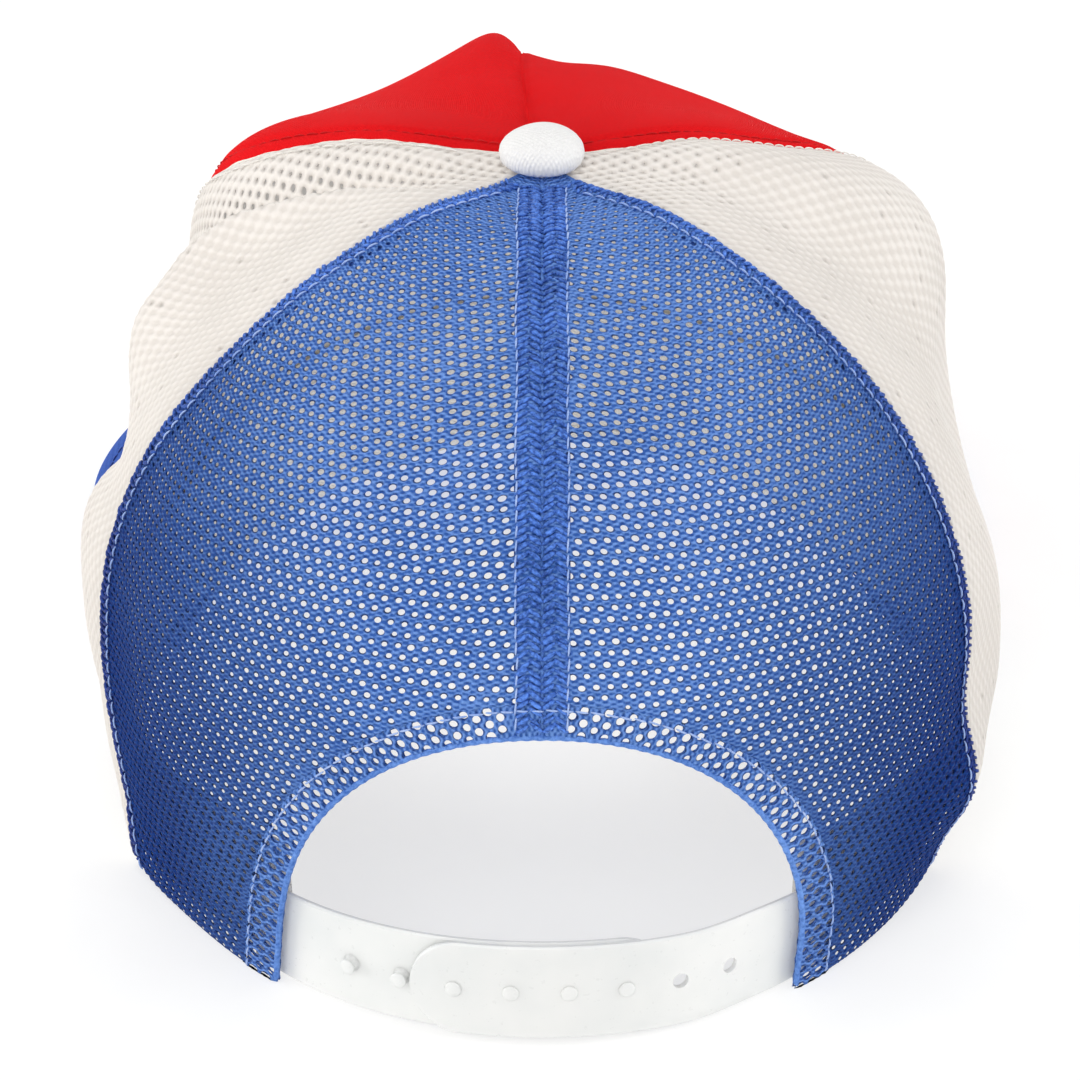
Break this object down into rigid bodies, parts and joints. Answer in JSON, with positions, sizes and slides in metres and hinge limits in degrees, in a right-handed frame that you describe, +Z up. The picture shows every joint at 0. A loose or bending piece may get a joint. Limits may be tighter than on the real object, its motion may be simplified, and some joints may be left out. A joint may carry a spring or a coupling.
{
  "type": "trucker cap",
  "caption": "Foam-front trucker cap with mesh sides and back, a curved brim, a covered top button and a plastic snap strap across an arched opening.",
  "frame": {"origin": "on the resting surface, under the middle of the cap's bounding box", "axes": "+Z up, the brim points along -Y, +X is the wearer's left"},
  "size_m": [0.193, 0.274, 0.1353],
  "materials": {
    "red_foam": "brushed knit face laminated to foam",
    "cream_mesh": "open knitted mesh",
    "blue_mesh": "open knitted mesh",
    "cream_cloth": "plain woven cloth",
    "blue_cloth": "plain woven cloth over a stiff board",
    "white_plastic": "moulded flexible plastic"
  },
  "bodies": {
    "root": {"front_panel_left": "red_foam", "front_panel_right": "red_foam", "side_panel_left": "cream_mesh", "side_panel_right": "cream_mesh", "back_panel_left": "blue_mesh", "back_panel_right": "blue_mesh", "back_seam_tape": "blue_mesh", "opening_facing": "blue_mesh", "sweatband": "cream_cloth", "brim": "blue_cloth", "strap_pegs": "white_plastic", "strap_holes": "white_plastic", "button": "cream_cloth"}
  },
  "joints": []
}
